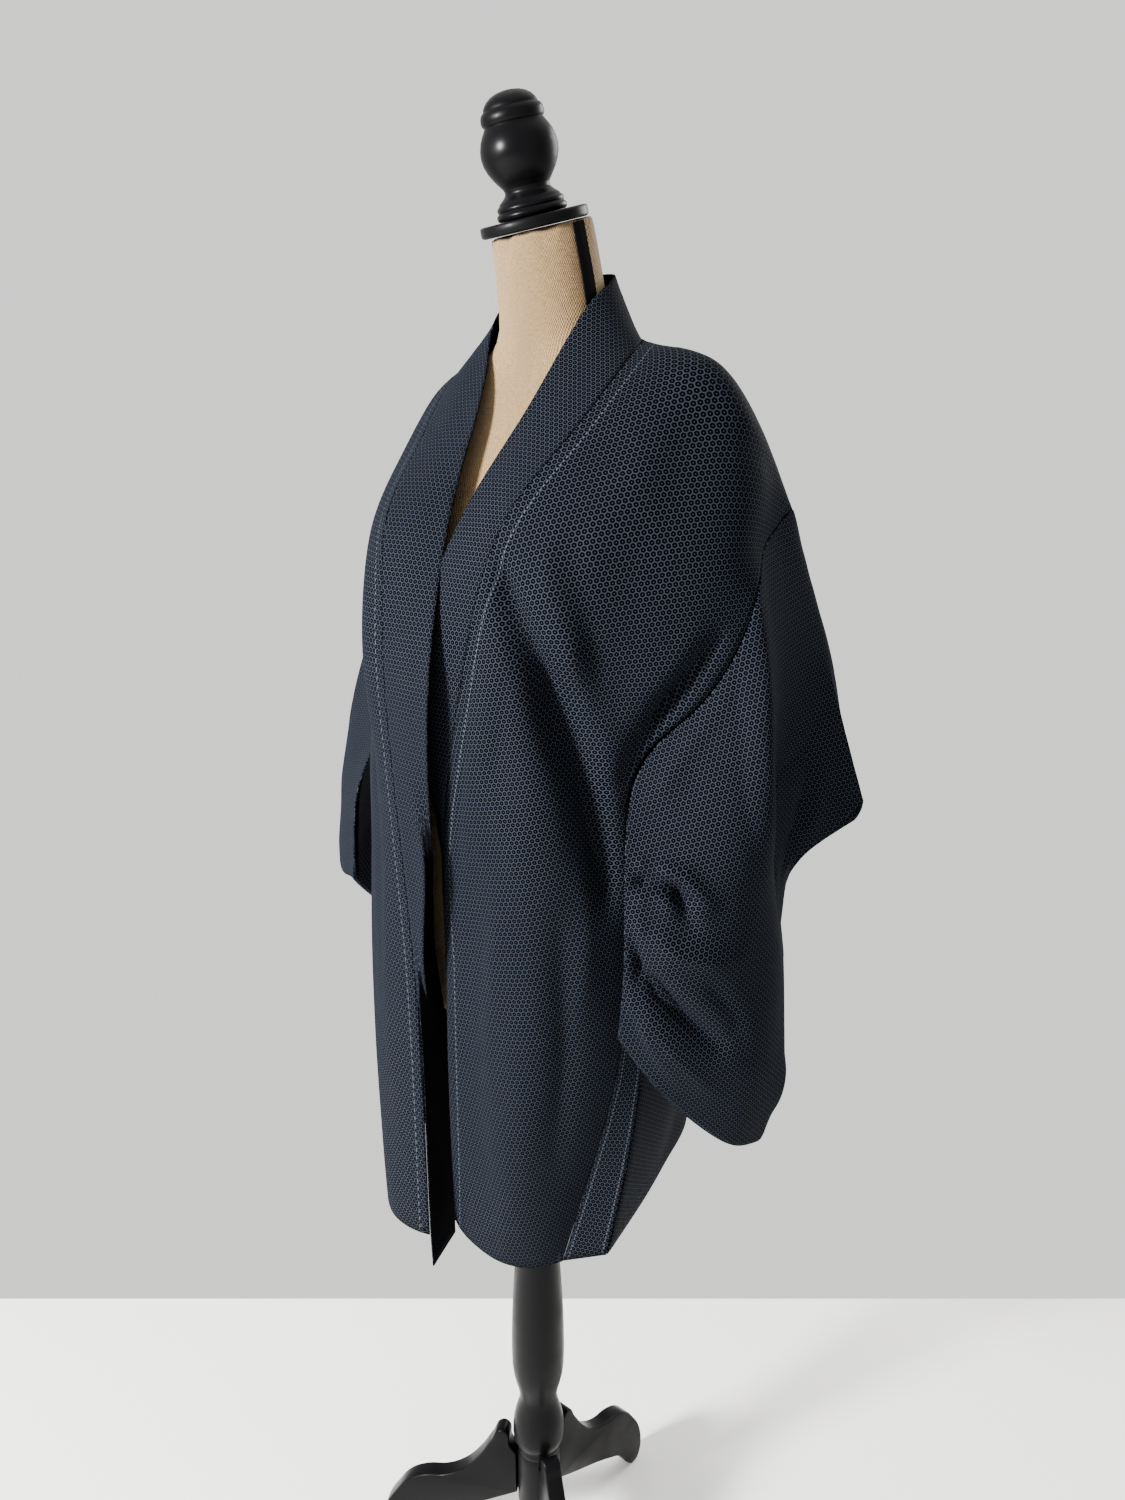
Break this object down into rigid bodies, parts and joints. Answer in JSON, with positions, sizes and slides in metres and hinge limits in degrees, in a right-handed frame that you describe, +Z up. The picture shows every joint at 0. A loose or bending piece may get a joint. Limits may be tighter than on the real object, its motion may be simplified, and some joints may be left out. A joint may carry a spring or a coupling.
{
  "type": "haori on a limbless dress form with a turned stand",
  "caption": "Short open kimono jacket with wide hanging sleeves and a long collar band, draped over a burlap dress form on a turned post with an S-legged tripod foot.",
  "frame": {"origin": "on the floor under the middle of the box round the whole part", "axes": "+Z up; the wearer's front faces -Y; the wearer's left is +X"},
  "size_m": [0.577, 0.3934, 1.6404],
  "materials": {
    "navy tsumugi": "crisp woven silk, slight sheen",
    "burlap": "coarse plain weave",
    "black ribbon": "dull woven tape",
    "black lacquered wood": "satin lacquer"
  },
  "bodies": {
    "root": {"body_left": "navy tsumugi", "body_right": "navy tsumugi", "sleeve_left": "navy tsumugi", "sleeve_right": "navy tsumugi", "machi_left": "navy tsumugi", "machi_right": "navy tsumugi", "collar": "navy tsumugi", "torso": "burlap", "neck_ribbon_left": "black ribbon", "neck_ribbon_right": "black ribbon", "neck_cap": "black lacquered wood", "finial": "black lacquered wood", "post": "black lacquered wood", "hub": "black lacquered wood", "leg_1": "black lacquered wood", "leg_2": "black lacquered wood", "leg_3": "black lacquered wood"}
  },
  "joints": []
}
